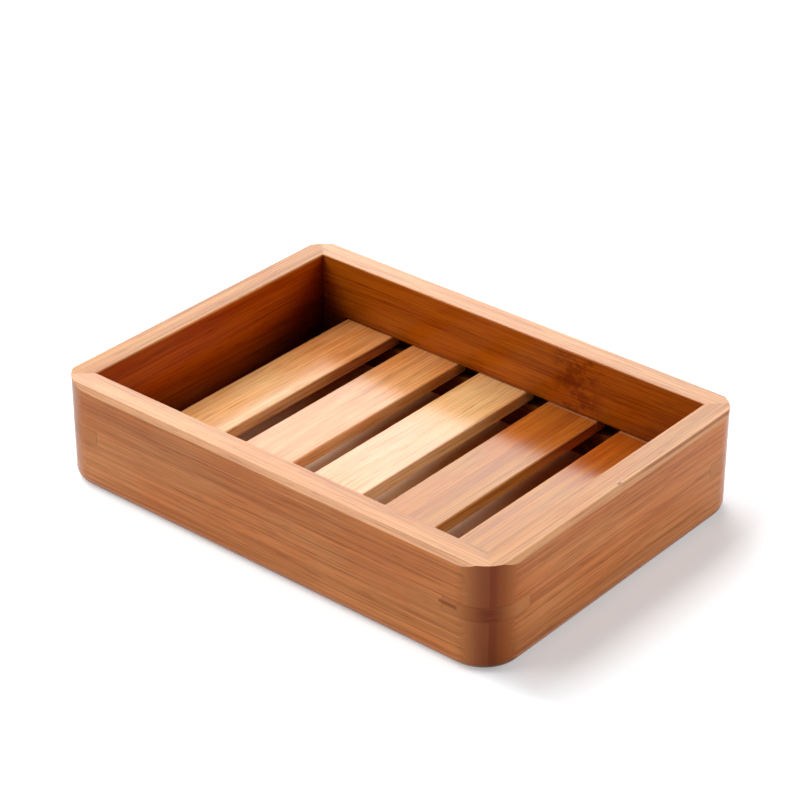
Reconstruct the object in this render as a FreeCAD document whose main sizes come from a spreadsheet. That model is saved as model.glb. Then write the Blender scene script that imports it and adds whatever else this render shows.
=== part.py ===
import FreeCAD, Part
import math
import os
import Sketcher

# A slatted bamboo soap dish. Four rails stand on edge, mitred and keyed at the corners, and a bed of slats
# is let into grooves in the two long rails. Every joint is glued, so nothing moves.
# Millimetres. The origin is the middle of the underside: +X runs along the dish, +Y across it and +Z up.

# Driving dimensions: name, size and what it measures
DIMENSIONS = [
    ("dish_length", 120.0, "outside of the frame along X"),
    ("dish_width", 86.5, "outside of the frame along Y"),
    ("dish_height", 25.0, "outside of the frame along Z"),
    ("wall", 6.5, "thickness of a rail"),
    ("corner_radius", 9.0, "rounding of the frame's corners, seen from above"),
    ("rim_chamfer", 1.0, "bevel along the outer top edge of a rail"),
    ("foot_round", 2.6, "rounding of the frame's outer bottom edge"),
    ("inner_round", 0.3, "easing of the frame's inner top edge"),
    ("slat_width", 13.8, "one slat, along X"),
    ("slat_thickness", 3.0, "one slat, along Z"),
    ("slat_round", 0.4, "rounding of a slat's long edges"),
    ("drain_height", 7.4, "underside of the slats above the table"),
    ("groove_depth", 3.0, "how far a groove goes into a long rail"),
    ("groove_play", 0.15, "room above a slat in its groove"),
    ("groove_end_play", 0.5, "how far a groove runs past the outermost slats"),
    ("slat_end_play", 0.3, "room beyond each end of a slat in its groove"),
    ("key_height", 13.6, "middle of a corner key above the table"),
    ("key_thickness", 3.2, "one corner key, along Z"),
    ("key_cover", 0.5, "wood between a key slot and the frame's inner corner"),
    ("glue_line", 0.05, "gap between a key and its slot"),
    ("cut_overrun", 2.0, "how far a cut runs past the wood"),
]
SLAT_COUNT = 5
# The gap at each end of the bed, as a share of the gap between two slats
END_GAP_SHARE = 1.22

# Sizes that follow from the driving dimensions
INNER_LENGTH = "(Sizes.dish_length - 2 * Sizes.wall)"
INNER_WIDTH = "(Sizes.dish_width - 2 * Sizes.wall)"
HALF_LENGTH = "(Sizes.dish_length / 2)"
HALF_WIDTH = "(Sizes.dish_width / 2)"
MID_HEIGHT = "(Sizes.dish_height / 2)"
MITRE_INSET = "(Sizes.corner_radius * (1 - sqrt(0.5)))"
GAP_ROOM = f"({INNER_LENGTH} - {SLAT_COUNT} * Sizes.slat_width)"
SLAT_GAP = f"({GAP_ROOM} / ({SLAT_COUNT - 1} + 2 * {END_GAP_SHARE}))"
SLAT_PITCH = f"(Sizes.slat_width + {SLAT_GAP})"
BED_LENGTH = f"({SLAT_COUNT} * {SLAT_PITCH} - {SLAT_GAP})"
SLAT_LENGTH = f"({INNER_WIDTH} + 2 * (Sizes.groove_depth - Sizes.slat_end_play))"
SLAT_TOP = "(Sizes.drain_height + Sizes.slat_thickness)"
GROOVE_TOP = f"({SLAT_TOP} + Sizes.groove_play)"
GROOVE_LENGTH = f"({BED_LENGTH} + 2 * Sizes.groove_end_play)"
KEY_LEG = "(2 * Sizes.wall - sqrt(2) * Sizes.key_cover - sqrt(2) * Sizes.glue_line)"
SLOT_LEG = f"({KEY_LEG} + sqrt(2) * Sizes.glue_line)"
SLOT_HEIGHT = "(Sizes.key_thickness + 2 * Sizes.glue_line)"
KEY_HEIGHT = "Sizes.key_height"
OVERRUN = "Sizes.cut_overrun"

UP = FreeCAD.Vector(0, 0, 1)
QUARTER_TURN = 90
# Two places closer than this are the same place
SAME_PLACE = 0.001

doc = FreeCAD.newDocument("soap_dish")
sheet = doc.addObject("Spreadsheet::Sheet", "Sizes")
for row, (name, size, meaning) in enumerate(DIMENSIONS, 1):
    sheet.set(f"A{row}", name)
    sheet.set(f"B{row}", str(size))
    sheet.set(f"C{row}", meaning)
    sheet.setAlias(f"B{row}", name)
doc.recompute()


def number(expression):
    """The value of an expression, for the first position of what the expression then holds."""
    return float(sheet.evalExpression(expression))


def new_sketch(body, name, role, lift="0"):
    """An empty sketch on one of the body's own planes, lifted along the plane's normal."""
    sketch = body.newObject("Sketcher::SketchObject", name)
    plane = next(feature for feature in body.Origin.OriginFeatures if feature.Role == role)
    sketch.AttachmentSupport = [(plane, "")]
    sketch.MapMode = "FlatFace"
    sketch.setExpression("AttachmentOffset.Base.z", lift)
    return sketch


def arc_between(start, end, radius):
    """The short arc that runs anticlockwise from start to end."""
    chord = end - start
    middle = (start + end) / 2
    to_centre = math.sqrt(radius ** 2 - (chord.Length / 2) ** 2)
    centre = middle + UP.cross(chord).normalize() * to_centre
    first = math.atan2(start.y - centre.y, start.x - centre.x)
    last = math.atan2(end.y - centre.y, end.x - centre.x)
    return Part.ArcOfCircle(Part.Circle(centre, UP, radius), first, last)


def add_outline(sketch, corners):
    """Add a closed outline, listed anticlockwise. A corner is two expressions, its place in the sketch.
    Where an arc starts at the corner, a third expression gives the arc's radius."""
    points = [FreeCAD.Vector(number(corner[0]), number(corner[1]), 0) for corner in corners]
    sides = []
    for corner, start, end in zip(corners, points, points[1:] + points[:1]):
        if len(corner) == 2:
            sides.append(sketch.addGeometry(Part.LineSegment(start, end)))
            continue
        radius = corner[2]
        side = sketch.addGeometry(arc_between(start, end, number(radius)))
        held = sketch.addConstraint(Sketcher.Constraint("Radius", side, number(radius)))
        sketch.setExpression(f"Constraints[{held}]", radius)
        sides.append(side)
    for corner, side, before in zip(corners, sides, sides[-1:] + sides[:-1]):
        sketch.addConstraint(Sketcher.Constraint("Coincident", before, 2, side, 1))
        for kind, place in zip(("DistanceX", "DistanceY"), corner):
            held = sketch.addConstraint(Sketcher.Constraint(kind, -1, 1, side, 1, number(place)))
            sketch.setExpression(f"Constraints[{held}]", place)


def pad(body, name, sketch, depth):
    """Thicken a sketch evenly to both sides."""
    feature = body.newObject("PartDesign::Pad", name)
    feature.Profile = sketch
    feature.SideType = "Symmetric"
    feature.setExpression("Length", depth)
    doc.recompute()


def cut(body, name, sketch, depth):
    """Cut a sketch evenly to both sides, and make sure that wood came off."""
    before = body.Shape.Volume
    feature = body.newObject("PartDesign::Pocket", name)
    feature.Profile = sketch
    feature.SideType = "Symmetric"
    feature.setExpression("Length", depth)
    doc.recompute()
    if body.Shape.Volume >= before:
        raise RuntimeError(f"{body.Label}: {name} took no wood off")


def round_edges(body, name, radius, wanted):
    """Round the edges whose boxes the wanted function picks."""
    picked = [f"Edge{place}" for place, edge in enumerate(body.Shape.Edges, 1) if wanted(edge.BoundBox)]
    base = body.Tip
    feature = body.newObject("PartDesign::Fillet", name)
    feature.Base = (base, picked)
    feature.setExpression("Radius", radius)
    doc.recompute()


def put(body, place, quarter_turns):
    """Turn a finished piece about Z and set it at a place given by two expressions."""
    body.Placement = FreeCAD.Placement(FreeCAD.Vector(), FreeCAD.Rotation(UP, QUARTER_TURN * quarter_turns))
    for axis, expression in zip("xy", place):
        body.setExpression(f"Placement.Base.{axis}", expression)


def make_rail(label, run, reach, quarter_turns, grooved=False):
    """A rail of the frame, made along the -Y side and turned to its own. run is its length over the corners,
    and reach is how far its outer face stands from the middle of the dish."""
    body = doc.addObject("PartDesign::Body", label)
    outer = f"-{reach}"
    inner = f"({outer} + Sizes.wall)"
    end = f"({run} / 2)"
    arc_start = f"({end} - Sizes.corner_radius)"
    mitre_end = f"({end} - {MITRE_INSET})"
    inner_end = f"({end} - Sizes.wall)"
    mitre_depth = f"({outer} + {MITRE_INSET})"

    plan = new_sketch(body, "plan", "XY_Plane", MID_HEIGHT)
    add_outline(plan, [
        (f"-{arc_start}", outer),
        (arc_start, outer, "Sizes.corner_radius"),
        (mitre_end, mitre_depth),
        (inner_end, inner),
        (f"-{inner_end}", inner),
        (f"-{mitre_end}", mitre_depth, "Sizes.corner_radius"),
    ])
    pad(body, "mitred_strip", plan, "Sizes.dish_height")

    # The bevel follows the straight face, so it runs out where the rounded corner falls away
    bevel = new_sketch(body, "bevel", "YZ_Plane")
    add_outline(bevel, [
        (f"{outer} - {OVERRUN}", f"Sizes.dish_height - Sizes.rim_chamfer - {OVERRUN}"),
        (f"{outer} + Sizes.rim_chamfer + {OVERRUN}", f"Sizes.dish_height + {OVERRUN}"),
        (f"{outer} - {OVERRUN}", f"Sizes.dish_height + {OVERRUN}"),
    ])
    cut(body, "rim_bevel", bevel, f"{run} + 2 * {OVERRUN}")

    # Half of the saw slot that each corner key is glued into
    slots = new_sketch(body, "slots", "XY_Plane", KEY_HEIGHT)
    slot_mouth = f"{outer} - {OVERRUN}"
    slot_inside = f"{outer} + {SLOT_LEG} + {OVERRUN}"
    slot_toe = f"({end} - {SLOT_LEG} - {OVERRUN})"
    slot_heel = f"({end} + {OVERRUN})"
    add_outline(slots, [(slot_toe, slot_mouth), (slot_heel, slot_mouth), (slot_heel, slot_inside)])
    far_toe = f"-{slot_toe}"
    far_heel = f"-{slot_heel}"
    add_outline(slots, [(far_heel, slot_mouth), (far_toe, slot_mouth), (far_heel, slot_inside)])
    cut(body, "key_slots", slots, SLOT_HEIGHT)

    if grooved:
        groove = new_sketch(body, "groove", "YZ_Plane")
        groove_floor = f"{inner} - Sizes.groove_depth"
        groove_mouth = f"{inner} + {OVERRUN}"
        add_outline(groove, [
            (groove_floor, "Sizes.drain_height"),
            (groove_mouth, "Sizes.drain_height"),
            (groove_mouth, GROOVE_TOP),
            (groove_floor, GROOVE_TOP),
        ])
        cut(body, "slat_groove", groove, GROOVE_LENGTH)

    inner_face = number(inner)
    rim = number("Sizes.dish_height")
    round_edges(body, "inner_easing", "Sizes.inner_round",
                lambda box: box.ZMin > rim - SAME_PLACE and box.YMin > inner_face - SAME_PLACE)

    # The rounding is picked on the straight edge and runs on round both corners
    outer_face = number(outer)
    round_edges(body, "foot_rounding", "Sizes.foot_round",
                lambda box: box.ZMax < SAME_PLACE and box.YMax < outer_face + SAME_PLACE)
    put(body, ("0", "0"), quarter_turns)
    return body


def make_key(label, corner, quarter_turns):
    """The flat key across one mitre, made with the frame's corner at its origin and turned to face inward."""
    body = doc.addObject("PartDesign::Body", label)
    blank_side = f"({KEY_LEG} + Sizes.corner_radius)"

    blank = new_sketch(body, "blank", "XY_Plane", KEY_HEIGHT)
    add_outline(blank, [
        ("Sizes.corner_radius", "0"),
        (blank_side, "0"),
        (blank_side, blank_side),
        ("0", blank_side),
        ("0", "Sizes.corner_radius", "Sizes.corner_radius"),
    ])
    pad(body, "rounded_blank", blank, "Sizes.key_thickness")

    waste = new_sketch(body, "waste", "XY_Plane", KEY_HEIGHT)
    waste_toe = f"{KEY_LEG} + {OVERRUN}"
    waste_far = f"{blank_side} + {OVERRUN}"
    add_outline(waste, [
        (waste_toe, f"-{OVERRUN}"),
        (waste_far, f"-{OVERRUN}"),
        (waste_far, waste_far),
        (f"-{OVERRUN}", waste_far),
        (f"-{OVERRUN}", waste_toe),
    ])
    cut(body, "slanted_back", waste, f"Sizes.key_thickness + 2 * {OVERRUN}")
    put(body, corner, quarter_turns)
    return body


def make_slat(label, across):
    """A slat of the bed, with its ends in the grooves of both long rails."""
    body = doc.addObject("PartDesign::Body", label)
    half_width = "(Sizes.slat_width / 2)"
    section = new_sketch(body, "section", "XZ_Plane")
    add_outline(section, [
        (f"-{half_width}", "Sizes.drain_height"),
        (half_width, "Sizes.drain_height"),
        (half_width, SLAT_TOP),
        (f"-{half_width}", SLAT_TOP),
    ])
    pad(body, "strip", section, SLAT_LENGTH)
    round_edges(body, "eased_edges", "Sizes.slat_round",
                lambda box: box.XLength < SAME_PLACE and box.ZLength < SAME_PLACE)
    put(body, (across, "0"), 0)
    return body


pieces = [
    make_rail("front_rail", "Sizes.dish_length", HALF_WIDTH, 0, grooved=True),
    make_rail("right_end_rail", "Sizes.dish_width", HALF_LENGTH, 1),
    make_rail("back_rail", "Sizes.dish_length", HALF_WIDTH, 2, grooved=True),
    make_rail("left_end_rail", "Sizes.dish_width", HALF_LENGTH, 3),
    make_key("front_left_key", (f"-{HALF_LENGTH}", f"-{HALF_WIDTH}"), 0),
    make_key("front_right_key", (HALF_LENGTH, f"-{HALF_WIDTH}"), 1),
    make_key("back_right_key", (HALF_LENGTH, HALF_WIDTH), 2),
    make_key("back_left_key", (f"-{HALF_LENGTH}", HALF_WIDTH), 3),
]
for place in range(SLAT_COUNT):
    steps_from_middle = place - (SLAT_COUNT - 1) / 2
    pieces.append(make_slat(f"slat_{place + 1}", f"{steps_from_middle} * {SLAT_PITCH}"))
doc.recompute()

# Nothing is written unless every step worked and every piece is one sound solid
failed = [thing.Label for thing in doc.Objects if {"Invalid", "Error"} & set(thing.State)]
for piece in pieces:
    if piece.Shape.isNull() or not piece.Shape.isValid() or len(piece.Shape.Solids) != 1:
        failed.append(piece.Label)
if failed:
    raise RuntimeError("not built: " + ", ".join(failed))

os.makedirs("parts", exist_ok=True)
for piece in pieces:
    piece.Shape.exportStep(f"parts/{piece.Label}.step")
    print(f"{piece.Label}: {piece.Shape.Volume:.1f} cubic millimetres")
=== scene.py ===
import bpy
import math
from types import SimpleNamespace
from mathutils import Matrix, Vector


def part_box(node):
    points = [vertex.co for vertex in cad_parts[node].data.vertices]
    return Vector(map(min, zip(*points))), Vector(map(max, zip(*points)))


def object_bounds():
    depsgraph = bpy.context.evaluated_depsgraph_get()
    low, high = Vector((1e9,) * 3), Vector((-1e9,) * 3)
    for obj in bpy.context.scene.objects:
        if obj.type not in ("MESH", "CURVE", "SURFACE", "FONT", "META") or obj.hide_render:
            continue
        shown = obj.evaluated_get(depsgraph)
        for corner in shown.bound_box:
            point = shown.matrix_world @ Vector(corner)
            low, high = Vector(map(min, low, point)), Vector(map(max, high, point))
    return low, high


# The looks of a slatted bamboo soap dish: lacquered bamboo on every piece, a white floor, soft studio light.
# Metres. +X runs along the dish, +Y across it, away from the camera, and +Z up.

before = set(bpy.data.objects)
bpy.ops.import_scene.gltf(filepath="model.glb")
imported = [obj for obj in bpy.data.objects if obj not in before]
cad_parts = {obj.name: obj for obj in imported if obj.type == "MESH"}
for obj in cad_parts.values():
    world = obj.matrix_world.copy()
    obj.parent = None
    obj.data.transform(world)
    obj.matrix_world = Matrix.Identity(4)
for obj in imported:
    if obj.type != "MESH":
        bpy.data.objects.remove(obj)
cad_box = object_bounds()
MM = 0.001
RIGHT_ANGLE = math.radians(90)

# The dish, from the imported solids
RIM = cad_box[1].z
FRONT_Y = cad_box[0].y
INNER_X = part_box("right_end_rail")[0].x
INNER_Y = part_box("back_rail")[0].y

# Sockets of the Mix node when it mixes colours
MIX_SHARE = 0
MIX_FIRST = 6
MIX_SECOND = 7
MIX_RESULT = 2


class Recipe:
    """The node tree of a material or world, built node by node. Most methods return an output socket."""

    def __init__(self, owner):
        owner.use_nodes = True
        self.nodes = owner.node_tree.nodes
        self.links = owner.node_tree.links
        self.nodes.clear()

    def add(self, kind, inputs, **settings):
        """A node with each input either linked to a socket or set to a value."""
        node = self.nodes.new(kind)
        for name, setting in settings.items():
            setattr(node, name, setting)
        for name, source in inputs.items():
            if isinstance(source, bpy.types.NodeSocket):
                self.links.new(source, node.inputs[name])
            else:
                node.inputs[name].default_value = source
        return node

    def math(self, operation, *terms):
        return self.add("ShaderNodeMath", dict(enumerate(terms)), operation=operation).outputs[0]

    def vector(self, operation, *terms):
        node = self.add("ShaderNodeVectorMath", dict(enumerate(terms)), operation=operation)
        return node.outputs["Value" if operation == "DOT_PRODUCT" else "Vector"]

    def split(self, vector):
        return self.add("ShaderNodeSeparateXYZ", {"Vector": vector}).outputs

    def rise(self, value, low, high, bottom=0.0, top=1.0):
        """Goes smoothly from bottom to top while the value goes from low to high."""
        limits = {"Value": value, "From Min": low, "From Max": high, "To Min": bottom, "To Max": top}
        return self.add("ShaderNodeMapRange", limits, interpolation_type="SMOOTHSTEP").outputs["Result"]

    def fall(self, value, low, high):
        """Goes smoothly from one to zero while the value goes from low to high."""
        return self.rise(value, low, high, 1.0, 0.0)

    def near(self, value, place, reach, soft):
        """One within reach of a place, falling to zero over the soft edge."""
        offset = self.math("ABSOLUTE", self.math("SUBTRACT", value, place))
        return self.fall(offset, reach, reach + soft)

    def both(self, *shares):
        product = shares[0]
        for share in shares[1:]:
            product = self.math("MULTIPLY", product, share)
        return product

    def mix(self, share, first, second):
        inputs = {MIX_SHARE: share, MIX_FIRST: first, MIX_SECOND: second}
        return self.add("ShaderNodeMix", inputs, data_type="RGBA").outputs[MIX_RESULT]

    def tint(self, share, colour, factor):
        """Multiplies a colour by a factor, as far as the share goes."""
        inputs = {MIX_SHARE: share, MIX_FIRST: colour, MIX_SECOND: factor}
        node = self.add("ShaderNodeMix", inputs, data_type="RGBA", blend_type="MULTIPLY")
        return node.outputs[MIX_RESULT]

    def noise(self, place, length, width, detail=2.0, roughness=0.5):
        """Noise with grains of this length along the fibres and this width across them."""
        stretched = self.vector("MULTIPLY", place, (1 / length, 1 / width, 1 / width))
        inputs = {"Vector": stretched, "Scale": 1.0, "Detail": detail, "Roughness": roughness}
        return self.add("ShaderNodeTexNoise", inputs).outputs["Fac"]

    def eye(self):
        """One for rays that see the scene, also by reflection, and zero for rays that gather light."""
        path = self.add("ShaderNodeLightPath", {}).outputs
        direct = self.math("MAXIMUM", path["Is Camera Ray"], path["Is Glossy Ray"])
        return self.math("MAXIMUM", direct, path["Is Transmission Ray"])


# The bamboo's figure: lengths along the fibres and widths across them
BAND = dict(length=170 * MM, width=3.0 * MM)
FIBRE = dict(length=42 * MM, width=0.6 * MM, detail=3.0, roughness=0.6)
HAIR = dict(length=24 * MM, width=0.36 * MM)
DASH = dict(length=8 * MM, width=0.42 * MM)
CLOUD = dict(length=26 * MM, width=9 * MM)
WAVE = dict(length=55 * MM, width=55 * MM)
WAVE_HEIGHT = 0.7 * MM
# Spans of the noise over which the figure comes in, and its tints
BODY_SPAN = (0.40, 0.60)
CLOUD_SPAN = (0.40, 0.62)
CLOUD_TINT = (1.0, 0.88, 0.72, 1)
HAIR_SPAN = (0.46, 0.62)
HAIR_TINT = (0.80, 0.71, 0.60, 1)
DASH_SPAN = (0.58, 0.68)
DASH_TINT = (0.79, 0.69, 0.58, 1)
# Where the surface turns across the fibres, the figure fades and only a share of the hairs stays
TURN_SPAN = (0.05, 0.35)
TURNED_HAIR_SHARE = 0.1
# Relief and gloss
RELIEF = 0.02 * MM
RELIEF_STRENGTH = 0.4
GLOSS_SPAN = (0.3, 0.7)
GLOSS_SWING = 0.04


def bamboo(name, turn, offset, pale, deep, roughness, ior, layers):
    """Lacquered bamboo whose fibres lie at an angle about Z from the X axis. offset moves the figure, so
    that no two pieces share it. Each layer is a function that takes the colour so far and returns its own.
    """
    material = bpy.data.materials.new(name)
    recipe = Recipe(material)
    coordinates = recipe.add("ShaderNodeTexCoord", {}).outputs
    along = (math.cos(turn), math.sin(turn), 0)
    across = recipe.math("ABSOLUTE", recipe.vector("DOT_PRODUCT", coordinates["Normal"], along))
    place = coordinates["Object"]
    x, y, z = recipe.split(place)
    height = recipe.split(coordinates["Normal"])[2]
    surface = SimpleNamespace(place=place, x=x, y=y, z=z, height=height, across=across)

    settings = {"Vector": place, "Rotation": (0, 0, -turn), "Location": offset}
    turned = recipe.add("ShaderNodeMapping", settings).outputs["Vector"]
    drift = recipe.math("MULTIPLY_ADD", recipe.noise(turned, **WAVE), WAVE_HEIGHT, -WAVE_HEIGHT / 2)
    sideways = recipe.add("ShaderNodeCombineXYZ", {"Y": drift, "Z": drift}).outputs["Vector"]
    wavy = recipe.vector("ADD", turned, sideways)
    bands = recipe.noise(wavy, **BAND)
    fibres = recipe.noise(wavy, **FIBRE)
    hairs = recipe.noise(wavy, **HAIR)
    dashes = recipe.noise(wavy, **DASH)
    cloud = recipe.noise(wavy, **CLOUD)

    body = recipe.math("MULTIPLY", recipe.math("ADD", bands, fibres), 0.5)
    plain = (Vector(pale) + Vector(deep)) / 2
    colour = recipe.mix(recipe.rise(body, *BODY_SPAN), (*deep, 1), (*pale, 1))
    colour = recipe.tint(recipe.rise(cloud, *CLOUD_SPAN), colour, CLOUD_TINT)
    colour = recipe.mix(recipe.rise(across, *TURN_SPAN), colour, (*plain, 1))
    for layer in layers:
        colour = layer(recipe, surface, colour)
    lengthwise = recipe.rise(across, *TURN_SPAN, 1.0, TURNED_HAIR_SHARE)
    colour = recipe.tint(recipe.both(recipe.rise(hairs, *HAIR_SPAN), lengthwise), colour, HAIR_TINT)
    colour = recipe.tint(recipe.both(recipe.rise(dashes, *DASH_SPAN), lengthwise), colour, DASH_TINT)

    relief = {"Height": recipe.math("ADD", fibres, hairs), "Strength": RELIEF_STRENGTH, "Distance": RELIEF}
    bump = recipe.add("ShaderNodeBump", relief).outputs["Normal"]
    gloss = recipe.rise(fibres, *GLOSS_SPAN, roughness + GLOSS_SWING, roughness - GLOSS_SWING)
    lacquer = {"Base Color": colour, "Roughness": gloss, "IOR": ior, "Normal": bump}
    shader = recipe.add("ShaderNodeBsdfPrincipled", lacquer).outputs["BSDF"]
    recipe.add("ShaderNodeOutputMaterial", {"Surface": shader})
    return material


# Spans of a normal's height, which is 1 on flat tops, 0 on upright sides and -1 on the underside
SLOPE_SPAN = (0.30, 0.45)
TOP_SPAN = (0.85, 0.97)
FOOT_SPAN = (-0.08, -0.45)
UNDERSIDE_SPAN = (-0.97, -0.85)
# Layers of colour, most of them painted light and shade
# Painted highlight on the bevels and eased edges that look up
EDGE_LIGHT = (0.95, 0.56, 0.24, 1)
EDGE_LIGHT_SHARE = 0.35
# End grain and painted shade at the rails' rounded corners
END_GRAIN_SHADE = (0.34, 0.066, 0.005, 1)
END_GRAIN_SHADE_SPAN = (-0.10, 0.76)
# Painted light from the floor on the low front
FOOT_TOP = 13 * MM
FOOT_LIGHT_TINT = (1.28, 1.32, 1.28, 1)
FOOT_REST_SHARE = 0.25
# Painted shade on the rails' rounded foot
FOOT_SHADE_TINT = (0.66, 0.66, 0.68, 1)
# Painted light and sheen on the slats' fronts, fading towards their shaded backs
LIT_FRONT_Y = 6 * MM
SHADED_BACK_Y = 24 * MM
SOFT = 0.2 * MM
# Painted shade on the walls inside the well
GROOVE_REACH = 4.5 * MM
WELL_REACH = 30 * MM
WELL_SAMPLES = 8
WELL_SPAN = (0.27, 0.58)
WELL_SHADE = (0.10, 0.06, 0.03, 1)


def lit_edges(recipe, surface, colour):
    """The bevels and eased edges that look up are painted paler, a painted highlight."""
    sloped = recipe.both(recipe.rise(surface.height, *SLOPE_SPAN), recipe.fall(surface.height, *TOP_SPAN))
    return recipe.mix(recipe.math("MULTIPLY", sloped, EDGE_LIGHT_SHARE), colour, EDGE_LIGHT)


def end_grain_and_shade(recipe, surface, colour):
    """The ends of the fibres where a rail's corner turns across them, plain and darker: partly end grain,
    partly painted shade.
    """
    return recipe.mix(recipe.rise(surface.across, *END_GRAIN_SHADE_SPAN), colour, END_GRAIN_SHADE)


def floor_bounce_light(recipe, surface, colour):
    """The front grows paler towards the foot: painted light from the bright floor."""
    return recipe.tint(recipe.rise(surface.z, 0, FOOT_TOP, 1.0, FOOT_REST_SHARE), colour, FOOT_LIGHT_TINT)


def foot_shade(recipe, surface, colour):
    """Painted shade: the rounded foot of a rail is darker than its side and its flat underside."""
    past_side = recipe.rise(surface.height, *FOOT_SPAN)
    before_underside = recipe.rise(surface.height, *UNDERSIDE_SPAN)
    return recipe.tint(recipe.both(past_side, before_underside), colour, FOOT_SHADE_TINT)


def tops(tint):
    """A layer that tints the flat tops."""
    def layer(recipe, surface, colour):
        return recipe.tint(recipe.rise(surface.height, *TOP_SPAN), colour, tint)
    return layer


def sides(tint):
    """A layer that tints the upright sides and the underside: painted light where the tint is above one,
    painted shade where it is below.
    """
    def layer(recipe, surface, colour):
        return recipe.tint(recipe.fall(surface.height, *SLOPE_SPAN), colour, tint)
    return layer


def lit_front(tint):
    """A layer that tints the front part of a slat: painted light and sheen, where the back rail does not
    shade it.
    """
    def layer(recipe, surface, colour):
        return recipe.tint(recipe.fall(surface.y, LIT_FRONT_Y, SHADED_BACK_Y), colour, tint)
    return layer


def turned_away(tint, first, last):
    """A layer that tints the surface while its turn across the fibres goes from first to last."""
    def layer(recipe, surface, colour):
        return recipe.tint(recipe.rise(surface.across, first, last), colour, tint)
    return layer


def well_shade(tint):
    """A layer of painted shade on the walls inside the well: redder, and dark in corners, in grooves and
    under the slats.
    """
    def layer(recipe, surface, colour):
        groove = INNER_Y + GROOVE_REACH
        inside_x = recipe.fall(recipe.math("ABSOLUTE", surface.x), INNER_X + SOFT, INNER_X + 2 * SOFT)
        inside_y = recipe.fall(recipe.math("ABSOLUTE", surface.y), groove, groove + SOFT)
        above_foot = recipe.rise(surface.z, SOFT, 2 * SOFT)
        below_rim = recipe.fall(surface.z, RIM - 3 * SOFT, RIM - SOFT)
        inside = recipe.both(inside_x, inside_y, above_foot, below_rim)
        shaded = recipe.tint(inside, colour, tint)
        probe = recipe.add("ShaderNodeAmbientOcclusion", {"Distance": WELL_REACH}, samples=WELL_SAMPLES)
        hidden = recipe.fall(probe.outputs["AO"], *WELL_SPAN)
        return recipe.tint(recipe.both(inside, hidden), shaded, WELL_SHADE)
    return layer


# Marks of single pieces, some of them painted shade
BEVEL_DEPTH = 1.0 * MM
NODE_BAND = dict(place=20.5 * MM, reach=3.5 * MM, soft=5.0 * MM)
NODE_MOTTLE = dict(length=3.2 * MM, width=2.4 * MM, detail=3.0, roughness=0.65)
NODE_SPAN = (0.42, 0.60)
NODE_SHARES = (0.05, 0.75)
NODE_TINT = (0.46, 0.34, 0.34, 1)
# Painted shadow line along the right rim's bevel
RIM_SHADOW_LINE = dict(place=59.25 * MM, reach=0.1 * MM, soft=0.25 * MM)
RIM_SHADOW_START_Y = 4 * MM
RIM_SHADOW_FADE = 6 * MM
RIM_SHADOW_TINT = (0.62, 0.45, 0.33, 1)
FLECK_ACROSS = dict(place=58.6 * MM, reach=0.1 * MM, soft=0.3 * MM)
FLECK_ALONG = dict(place=-0.5 * MM, reach=0.3 * MM, soft=0.4 * MM)
FLECK_TINT = (0.18, 0.12, 0.10, 1)
SEAM_ALONG = dict(place=49.1 * MM, reach=2.0 * MM, soft=0.5 * MM)
SEAM_UP = dict(place=14.0 * MM, reach=0.2 * MM, soft=0.4 * MM)
SEAM_TINT = (0.58, 0.42, 0.20, 1)
# Painted shade beside the right rail's front corner
CORNER_SHADE_START_Y = -36 * MM
CORNER_SHADE_END_Y = -26 * MM
CORNER_SHADE_TINT = (0.84, 0.75, 0.66, 1)
# A pale line where the slats meet the back rail
SLAT_END_LINE = dict(place=36.25 * MM, reach=0.1 * MM, soft=0.25 * MM)
SLAT_END_COLOUR = (0.52, 0.26, 0.15, 1)


def node_band(recipe, surface, colour):
    """The mottled band down the back rail below its rim, where the cane had a joint."""
    mottle = recipe.rise(recipe.noise(surface.place, **NODE_MOTTLE), *NODE_SPAN, *NODE_SHARES)
    below_rim = recipe.fall(surface.z, RIM - BEVEL_DEPTH, RIM - SOFT)
    share = recipe.both(recipe.near(surface.x, **NODE_BAND), below_rim, mottle)
    return recipe.tint(share, colour, NODE_TINT)


def rim_shadow_line(recipe, surface, colour):
    """A painted shadow line along the right rim, where its top meets the bevel, and a small dark fleck
    beside it.
    """
    top = recipe.rise(surface.z, RIM - BEVEL_DEPTH, RIM - 2 * SOFT)
    start = recipe.rise(surface.y, RIM_SHADOW_START_Y, RIM_SHADOW_START_Y + RIM_SHADOW_FADE)
    line = recipe.both(recipe.near(surface.x, **RIM_SHADOW_LINE), start, top)
    fleck = recipe.both(recipe.near(surface.x, **FLECK_ACROSS), recipe.near(surface.y, **FLECK_ALONG), top)
    return recipe.tint(fleck, recipe.tint(line, colour, RIM_SHADOW_TINT), FLECK_TINT)


def seam_dash(recipe, surface, colour):
    """A short dark seam where the key comes out of the front rail."""
    outside = recipe.fall(surface.y, FRONT_Y + SOFT, FRONT_Y + 2 * SOFT)
    share = recipe.both(recipe.near(surface.x, **SEAM_ALONG), recipe.near(surface.z, **SEAM_UP), outside)
    return recipe.tint(share, colour, SEAM_TINT)


def corner_shade(recipe, surface, colour):
    """Painted shade: below its rim, the right rail is darker beside the front corner."""
    below_rim = recipe.fall(surface.height, *SLOPE_SPAN)
    share = recipe.both(recipe.fall(surface.y, CORNER_SHADE_START_Y, CORNER_SHADE_END_Y), below_rim)
    return recipe.tint(share, colour, CORNER_SHADE_TINT)


def slat_end_line(recipe, surface, colour):
    """A thin pale line where a slat goes into the back rail."""
    return recipe.mix(recipe.near(surface.y, **SLAT_END_LINE), colour, SLAT_END_COLOUR)


# Angles of the fibres about Z
ALONG_X = 0.0
ALONG_Y = RIGHT_ANGLE
DIAGONAL = RIGHT_ANGLE / 2
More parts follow.
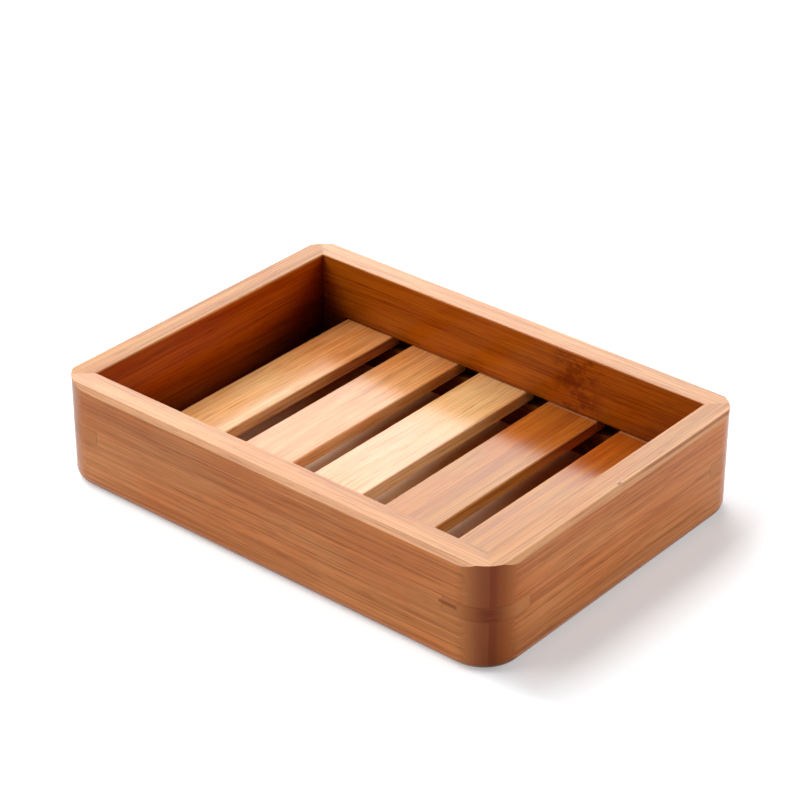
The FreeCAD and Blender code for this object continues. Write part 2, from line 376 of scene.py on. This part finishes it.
# Wood and layers of the rails and keys. The painted shade stripe and the key's tone follow the turn across
# the fibres.
RAIL_WOOD = dict(pale=(0.80, 0.30, 0.088), deep=(0.59, 0.195, 0.043), roughness=0.20)
RAIL_LAYERS = [end_grain_and_shade, tops((0.88, 1.07, 1.0, 1)), lit_edges, foot_shade]
# Painted shade inside the well: redder walls, darker still in the hollows
LONG_WALL_SHADE = well_shade((0.96, 0.84, 0.16, 1))
END_WALL_SHADE = well_shade((0.69, 0.325, 0.02, 1))
# Painted shade down the right rail's corners
CORNER_SHADE_STRIPE = turned_away((0.86, 0.74, 0.70, 1), 0.52, 0.62)
KEY_TONE = turned_away((0.46, 0.26, 0.10, 1), 0.95, 0.0)
KEY_IOR = 1.25


def rail(turn, ior, wall, under=(), over=()):
    """The looks of a rail, with its own layers under and over those that all rails have."""
    return dict(turn=turn, ior=ior, layers=[*under, *RAIL_LAYERS, wall, *over], **RAIL_WOOD)


def key(turn, under=(), over=()):
    """The looks of a corner key, with its own layers under and over its tone."""
    return dict(turn=turn, ior=KEY_IOR, layers=[*under, KEY_TONE, *over], **RAIL_WOOD)


def slat(pale, deep, roughness, ior, front, side, over=()):
    """The looks of a slat: its wood and gloss, the tints that paint light and shade on its front and its
    sides, and its own marks.
    """
    layers = [lit_front(front), sides(side), lit_edges, *over]
    return dict(turn=ALONG_Y, pale=pale, deep=deep, roughness=roughness, ior=ior, layers=layers)


PIECES = {
    "front_rail": rail(ALONG_X, ior=1.29, wall=LONG_WALL_SHADE, under=[floor_bounce_light], over=[seam_dash]),
    "back_rail": rail(ALONG_X, ior=1.26, wall=LONG_WALL_SHADE, over=[node_band]),
    "left_end_rail": rail(ALONG_Y, ior=1.20, wall=END_WALL_SHADE),
    "right_end_rail": rail(ALONG_Y, ior=1.25, wall=END_WALL_SHADE, under=[corner_shade], over=[CORNER_SHADE_STRIPE, rim_shadow_line]),
    "front_left_key": key(-DIAGONAL, under=[floor_bounce_light]),
    "front_right_key": key(DIAGONAL, over=[seam_dash]),
    "back_left_key": key(DIAGONAL),
    "back_right_key": key(-DIAGONAL),
    # front paints light and sheen on a slat's front part; side paints light on its sides, and shade on
    # slat_1's
    "slat_1": slat(pale=(0.87, 0.405, 0.147), deep=(0.73, 0.31, 0.097), roughness=0.20, ior=1.26,
                   front=(1.07, 1.36, 1.75, 1), side=(0.84, 0.76, 0.73, 1)),
    "slat_2": slat(pale=(0.90, 0.42, 0.145), deep=(0.75, 0.325, 0.105), roughness=0.20, ior=1.32,
                   front=(0.97, 0.99, 1.12, 1), side=(1.04, 1.18, 1.35, 1)),
    "slat_3": slat(pale=(0.98, 0.62, 0.28), deep=(0.94, 0.53, 0.215), roughness=0.20, ior=1.34,
                   front=(0.96, 0.85, 0.98, 1), side=(1.02, 1.30, 1.40, 1)),
    "slat_4": slat(pale=(0.60, 0.18, 0.018), deep=(0.45, 0.117, 0.010), roughness=0.18, ior=1.29,
                   front=(0.99, 1.34, 1.4, 1), side=(1.15, 1.35, 1.9, 1), over=[slat_end_line]),
    "slat_5": slat(pale=(0.58, 0.145, 0.008), deep=(0.44, 0.097, 0.005), roughness=0.18, ior=1.30,
                   front=(1.10, 1.88, 3.0, 1), side=(1.15, 1.35, 1.9, 1), over=[slat_end_line]),
}
# Moves from one piece's figure to the next
FIGURE_STEP = Vector((311, 173, 97)) * MM
for count, (node, looks) in enumerate(PIECES.items(), 1):
    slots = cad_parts[node].material_slots
    slots[0].material = bamboo(f"bamboo_{node}", offset=FIGURE_STEP * count, **looks)

# Floor
FLOOR_HALF = 3.0
FLOOR_WHITE = (0.92, 0.92, 0.92, 1)
FLOOR_GLOW = (0.94, 1.0, 1.03, 1)
FLOOR_LIFT = 0.32
# Painted light over the dish's shadow on the floor in front
FRONT_LIFT = 0.55
FRONT_INSET = 5 * MM
FRONT_OUTSET = 2 * MM
FAR_SPAN = (0.3, 1.2)
# Painted shade on the floor between the rails
SHADE_FRONT = (0.95, 0.79, 0.63, 1)
SHADE_BACK = (0.60, 0.34, 0.17, 1)
SHADE_START_Y = -6 * MM
SHADE_END_Y = 22 * MM


def white_floor():
    """Plain white. For the eye it is lifted to the background's white, most of all in front of the dish,
    where it paints light over the dish's shadow, and far from it. Between the rails it takes on a painted
    shade of the well."""
    material = bpy.data.materials.new("floor_white")
    recipe = Recipe(material)
    x, y, z = recipe.split(recipe.add("ShaderNodeTexCoord", {}).outputs["Object"])
    along_dish = recipe.math("ABSOLUTE", x)
    across_dish = recipe.math("ABSOLUTE", y)
    past_ends = recipe.math("GREATER_THAN", along_dish, INNER_X)
    past_sides = recipe.math("GREATER_THAN", across_dish, INNER_Y)
    open_floor = recipe.math("MAXIMUM", past_ends, past_sides)
    front = recipe.rise(y, FRONT_Y + FRONT_INSET, FRONT_Y - FRONT_OUTSET, FLOOR_LIFT, FRONT_LIFT)
    far = recipe.rise(recipe.math("MAXIMUM", along_dish, across_dish), *FAR_SPAN)
    lift = recipe.both(recipe.eye(), open_floor, recipe.math("MAXIMUM", front, far))
    shade = recipe.mix(recipe.rise(y, SHADE_START_Y, SHADE_END_Y), SHADE_FRONT, SHADE_BACK)
    colour = recipe.mix(open_floor, shade, FLOOR_WHITE)
    matte = recipe.add("ShaderNodeBsdfDiffuse", {"Color": colour}).outputs["BSDF"]
    glow = recipe.add("ShaderNodeEmission", {"Color": FLOOR_GLOW, "Strength": lift}).outputs["Emission"]
    total = recipe.add("ShaderNodeAddShader", {0: matte, 1: glow}).outputs["Shader"]
    recipe.add("ShaderNodeOutputMaterial", {"Surface": total})
    return material


floor_mesh = bpy.data.meshes.new("floor")
floor_corners = [(x * FLOOR_HALF, y * FLOOR_HALF, 0) for x, y in ((-1, -1), (1, -1), (1, 1), (-1, 1))]
floor_mesh.from_pydata(floor_corners, [], [range(len(floor_corners))])
floor_mesh.materials.append(white_floor())
floor = bpy.data.objects.new("floor", floor_mesh)
bpy.context.collection.objects.link(floor)

# World: a little even light, and a white background to the eye
AMBIENT = 0.07
WHITE = (1, 1, 1, 1)
world = bpy.data.worlds.new("studio")
bpy.context.scene.world = world
recipe = Recipe(world)
ambient = recipe.add("ShaderNodeBackground", {"Color": WHITE, "Strength": AMBIENT}).outputs["Background"]
backdrop = recipe.add("ShaderNodeBackground", {"Color": WHITE, "Strength": 1.0}).outputs["Background"]
sky = recipe.add("ShaderNodeMixShader", {0: recipe.eye(), 1: ambient, 2: backdrop}).outputs["Shader"]
recipe.add("ShaderNodeOutputWorld", {"Surface": sky})

# Lamps: degrees from +X towards +Y and above the floor, metres, and the brightness of the lamp's face.
# The cards are only there for the gloss on the rims and slats.
LAMP_DISTANCE = 2.0
LAMPS = {
    "key": dict(azimuth=186, elevation=60, width=2.6, height=1.07, brightness=4.7),
    "window": dict(azimuth=136, elevation=34, width=1.4, height=1.2, brightness=2.6),
    "fill": dict(azimuth=45, elevation=24, width=1.3, height=1.0, brightness=3.9),
    "sheen_card": dict(azimuth=136, elevation=33, width=1.4, height=1.2, brightness=3.3),
    "bevel_card": dict(azimuth=222, elevation=42, width=0.8, height=0.8, brightness=5.5),
}
for name, lamp in LAMPS.items():
    data = bpy.data.lights.new(name, "AREA")
    data.shape = "RECTANGLE"
    data.size = lamp["width"]
    data.size_y = lamp["height"]
    data.energy = lamp["brightness"] * math.pi * lamp["width"] * lamp["height"]
    side = math.radians(lamp["azimuth"])
    above = math.radians(lamp["elevation"])
    direction = Vector((math.cos(above) * math.cos(side), math.cos(above) * math.sin(side), math.sin(above)))
    light = bpy.data.objects.new(name, data)
    light.location = direction * LAMP_DISTANCE
    light.rotation_mode = "QUATERNION"
    light.rotation_quaternion = direction.to_track_quat("Z", "Y")
    light.visible_camera = False
    light.visible_diffuse = not name.endswith("card")
    bpy.context.collection.objects.link(light)

# Camera: the photograph's, found from the straight edges of the dish
CAMERA_AZIMUTH = math.radians(39.93)
CAMERA_ELEVATION = math.radians(30.17)
CAMERA_ROLL = math.radians(0.20)
CAMERA_DISTANCE = 590 * MM
CAMERA_TARGET = Vector((-11.51, 14.64, 11.30)) * MM
SENSOR = 36.0
LENS = 119.9
CLIP_NEAR = 10 * MM
camera_data = bpy.data.cameras.new("camera")
camera_data.sensor_width = SENSOR
camera_data.lens = LENS
camera_data.clip_start = CLIP_NEAR
camera = bpy.data.objects.new("camera", camera_data)
bpy.context.collection.objects.link(camera)
tilt = Matrix.Rotation(RIGHT_ANGLE - CAMERA_ELEVATION, 4, "X")
aim = Matrix.Translation(CAMERA_TARGET) @ (Matrix.Rotation(CAMERA_AZIMUTH, 4, "Z") @ tilt)
back_off = Matrix.Translation((0, 0, CAMERA_DISTANCE))
camera.matrix_world = aim @ back_off @ Matrix.Rotation(CAMERA_ROLL, 4, "Z")
bpy.context.scene.camera = camera
bpy.context.scene.view_settings.view_transform = "Standard"
